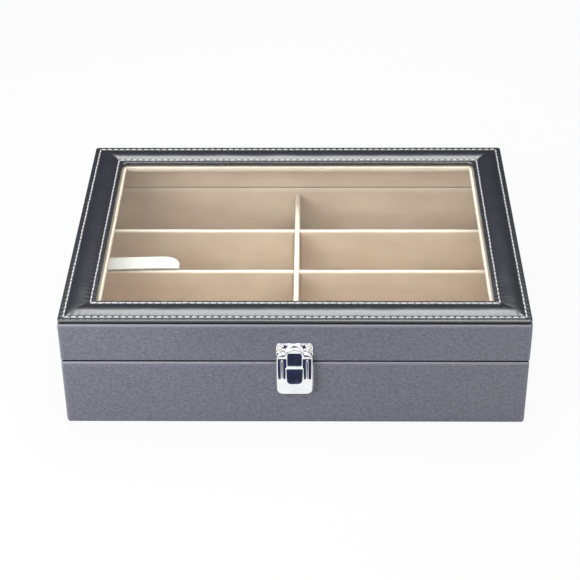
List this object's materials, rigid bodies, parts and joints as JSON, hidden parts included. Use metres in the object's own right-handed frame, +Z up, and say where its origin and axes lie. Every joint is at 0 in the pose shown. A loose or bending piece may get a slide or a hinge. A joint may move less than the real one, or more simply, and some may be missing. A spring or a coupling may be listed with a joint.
{
  "type": "sunglasses display case",
  "caption": "Flat leatherette case with a hinged window lid, sprung front latch and velvet compartments for folded glasses.",
  "frame": {"origin": "middle of the case's underside, on the surface that it stands on", "axes": "+X across the front to the right, +Y from front to back, +Z up; the latch is at -Y, the hinges at +Y"},
  "size_m": [0.335, 0.2569, 0.0938],
  "materials": {
    "leatherette": "dark grey, fine crackled grain, soft sheen",
    "panel_leatherette": "near black, smooth, soft sheen",
    "underside_paper": "black, matt",
    "board": "pressed fibre board, bare",
    "stiff_card": "grey board, bare",
    "velvet": "tan, short nap",
    "foam": "open-cell foam",
    "pane": "clear, polished",
    "trim": "cream, smooth",
    "tape": "white satin weave",
    "spring_steel": "drawn wire",
    "plated_steel": "bright nickel plate"
  },
  "bodies": {
    "base": {"base_back_board": "board", "base_back_liner": "velvet", "base_floor_board": "board", "base_front_board": "board", "base_front_liner": "velvet", "base_hinge_screws": "plated_steel", "base_left_board": "board", "base_left_liner": "velvet", "base_right_board": "board", "base_right_liner": "velvet", "base_skin": "leatherette", "centre_divider_core": "stiff_card", "centre_divider_cover": "velvet", "cross_divider_1_core": "stiff_card", "cross_divider_1_cover": "velvet", "cross_divider_2_core": "stiff_card", "cross_divider_2_cover": "velvet", "cross_divider_3_core": "stiff_card", "cross_divider_3_cover": "velvet", "floor_pad": "velvet", "hinge_left_base_leaf": "plated_steel", "hinge_left_pin": "plated_steel", "hinge_right_base_leaf": "plated_steel", "hinge_right_pin": "plated_steel", "latch_base_plate": "plated_steel", "latch_pin": "plated_steel", "latch_plate_rivets": "plated_steel", "latch_spring": "spring_steel", "stay_tape": "tape", "underside_sheet": "underside_paper"},
    "lid": {"lid_back_board": "board", "lid_back_liner": "velvet", "lid_ceiling_card": "velvet", "lid_front_board": "board", "lid_front_liner": "velvet", "lid_hinge_screws": "plated_steel", "lid_left_board": "board", "lid_left_liner": "velvet", "lid_right_board": "board", "lid_right_liner": "velvet", "lid_skin": "leatherette", "lid_top_board": "board", "panel_card": "stiff_card", "panel_foam": "foam", "panel_skin": "panel_leatherette", "window_pane": "pane", "window_trim": "trim", "catch_plate": "plated_steel", "catch_rivets": "plated_steel", "hinge_left_lid_leaf": "plated_steel", "hinge_right_lid_leaf": "plated_steel"},
    "latch": {"latch_flap": "plated_steel"}
  },
  "joints": [
    {"name": "lid_hinge", "type": "hinge", "parent": "base", "child": "lid", "pos_m": [0, 0.1248, 0.0562], "axis": [-1, 0, 0], "range_deg": [0, 95], "deforming": ["stay_tape"]},
    {"name": "latch_press", "type": "hinge", "parent": "base", "child": "latch", "pos_m": [0, -0.1259, 0.041], "axis": [1, 0, 0], "range_deg": [0, 18], "stiffness_Nm_per_rad": 0.02, "springref_deg": -17.19}
  ]
}
